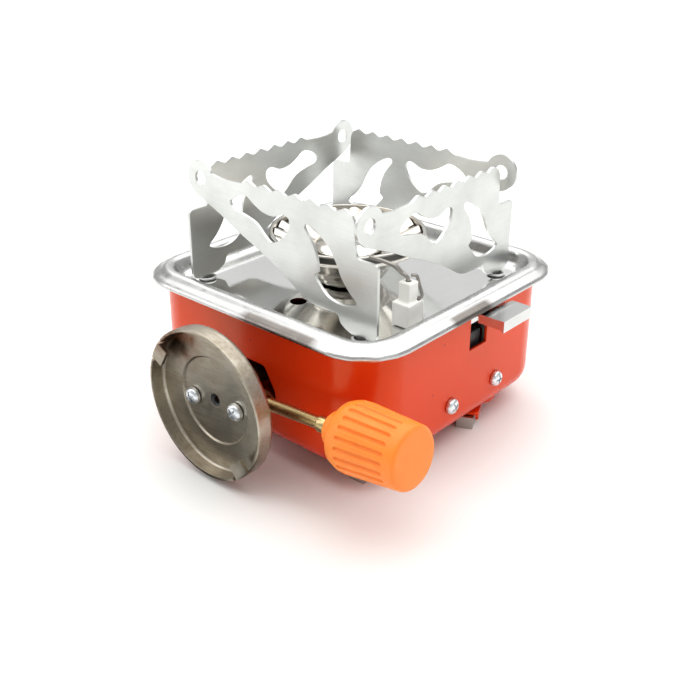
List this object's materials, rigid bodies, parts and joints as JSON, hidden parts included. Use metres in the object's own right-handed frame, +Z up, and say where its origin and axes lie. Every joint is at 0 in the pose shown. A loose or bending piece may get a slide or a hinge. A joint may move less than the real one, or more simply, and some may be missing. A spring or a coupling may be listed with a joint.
{
  "type": "camping stove",
  "caption": "Small square gas stove: painted case, polished tray, swing-out pot supports, fluted burner, piezo igniter, cartridge connector, valve knob and swing-out legs.",
  "frame": {"origin": "centre of the bounding box at the surface the stove stands on", "axes": "+Z up, -Y the side with the cartridge connector, +X the side with the valve knob and the igniter lever"},
  "size_m": [0.1188, 0.117, 0.0833],
  "materials": {
    "case_paint": "glossy orange-red enamel",
    "tray_steel": "polished pressed steel",
    "burner_steel": "bright pressed steel",
    "support_metal": "satin sheet with fine grain",
    "satin_steel": "plain satin steel",
    "lever_steel": "polished strip",
    "connector_steel": "brushed, slightly tarnished",
    "brass": "turned brass",
    "zinc": "bright zinc plate",
    "grey_steel": "plain grey steel",
    "ceramic": "white unglazed insulator",
    "black_plastic": "black moulded",
    "seal_rubber": "black",
    "knob_plastic": "semi-gloss orange moulding"
  },
  "bodies": {
    "stove": {"case_shell": "case_paint", "top_tray": "tray_steel", "eyelet_front": "satin_steel", "eyelet_right": "satin_steel", "eyelet_back": "satin_steel", "eyelet_left": "satin_steel", "burner_bowl": "burner_steel", "burner_fluted_plate": "burner_steel", "burner_cap": "burner_steel", "burner_screw": "zinc", "mixing_tube": "satin_steel", "gas_jet": "brass", "gas_tube": "brass", "electrode_holder": "ceramic", "electrode_wire": "grey_steel", "electrode_clip": "grey_steel", "igniter_bracket": "satin_steel", "piezo_housing": "black_plastic", "lever_pin": "satin_steel", "wall_screw_1": "zinc", "wall_screw_2": "zinc", "connector_plate": "connector_steel", "connector_screw_1": "zinc", "connector_screw_2": "zinc", "connector_seal": "seal_rubber", "valve_body": "brass", "gland_nut": "brass", "leg_rivet_front_right": "zinc", "leg_rivet_back_right": "zinc", "leg_rivet_back_left": "zinc", "leg_rivet_front_left": "zinc"},
    "support_front": {"pot_support_front": "support_metal", "support_washer_front": "satin_steel"},
    "support_right": {"pot_support_right": "support_metal", "support_washer_right": "satin_steel"},
    "support_back": {"pot_support_back": "support_metal", "support_washer_back": "satin_steel"},
    "support_left": {"pot_support_left": "support_metal", "support_washer_left": "satin_steel"},
    "knob": {"knob": "knob_plastic", "valve_stem": "brass"},
    "lever": {"igniter_lever": "lever_steel"},
    "plunger": {"piezo_plunger": "black_plastic"},
    "leg_front_right": {"leg_front_right": "case_paint", "leg_foot_front_right": "grey_steel"},
    "leg_back_right": {"leg_back_right": "case_paint", "leg_foot_back_right": "grey_steel"},
    "leg_back_left": {"leg_back_left": "case_paint", "leg_foot_back_left": "grey_steel"},
    "leg_front_left": {"leg_front_left": "case_paint", "leg_foot_front_left": "grey_steel"}
  },
  "joints": [
    {"name": "support_front_swing", "type": "hinge", "parent": "stove", "child": "support_front", "pos_m": [0.02288, -0.025, 0.0439], "axis": [0, 0, 1], "range_deg": [0, 90]},
    {"name": "support_right_swing", "type": "hinge", "parent": "stove", "child": "support_right", "pos_m": [0.02408, 0.0408, 0.0439], "axis": [0, 0, 1], "range_deg": [0, 90]},
    {"name": "support_back_swing", "type": "hinge", "parent": "stove", "child": "support_back", "pos_m": [-0.04172, 0.042, 0.0439], "axis": [0, 0, 1], "range_deg": [0, 90]},
    {"name": "support_left_swing", "type": "hinge", "parent": "stove", "child": "support_left", "pos_m": [-0.04292, -0.0238, 0.0439], "axis": [0, 0, 1], "range_deg": [0, 90]},
    {"name": "knob_turn", "type": "hinge", "parent": "stove", "child": "knob", "pos_m": [-0.00771, -0.0459, 0.025], "axis": [0.9969, 0, 0.0785], "range_deg": [0, 720]},
    {"name": "lever_press", "type": "hinge", "parent": "stove", "child": "lever", "pos_m": [0.02209, 0.0136, 0.0403], "axis": [0, 1, 0], "range_deg": [0, 10], "stiffness_Nm_per_rad": 0.4},
    {"name": "plunger_slide", "type": "slide", "parent": "stove", "child": "plunger", "axis": [0, 0, -1], "range_m": [0, 0.0019]},
    {"name": "leg_front_right_swing", "type": "hinge", "parent": "stove", "child": "leg_front_right", "pos_m": [0.02508, -0.0135, 0.0049], "axis": [0, 0, 1], "range_deg": [-90, 90]},
    {"name": "leg_back_right_swing", "type": "hinge", "parent": "stove", "child": "leg_back_right", "pos_m": [0.02508, 0.0305, 0.0049], "axis": [0, 0, 1], "range_deg": [-90, 90]},
    {"name": "leg_back_left_swing", "type": "hinge", "parent": "stove", "child": "leg_back_left", "pos_m": [-0.04392, 0.0305, 0.0049], "axis": [0, 0, 1], "range_deg": [-90, 90]},
    {"name": "leg_front_left_swing", "type": "hinge", "parent": "stove", "child": "leg_front_left", "pos_m": [-0.04392, -0.0135, 0.0049], "axis": [0, 0, 1], "range_deg": [-90, 90]}
  ],
  "couplings": [
    {"joint": "plunger_slide", "follows": "lever_press", "m_per_rad": 0.0105}
  ]
}
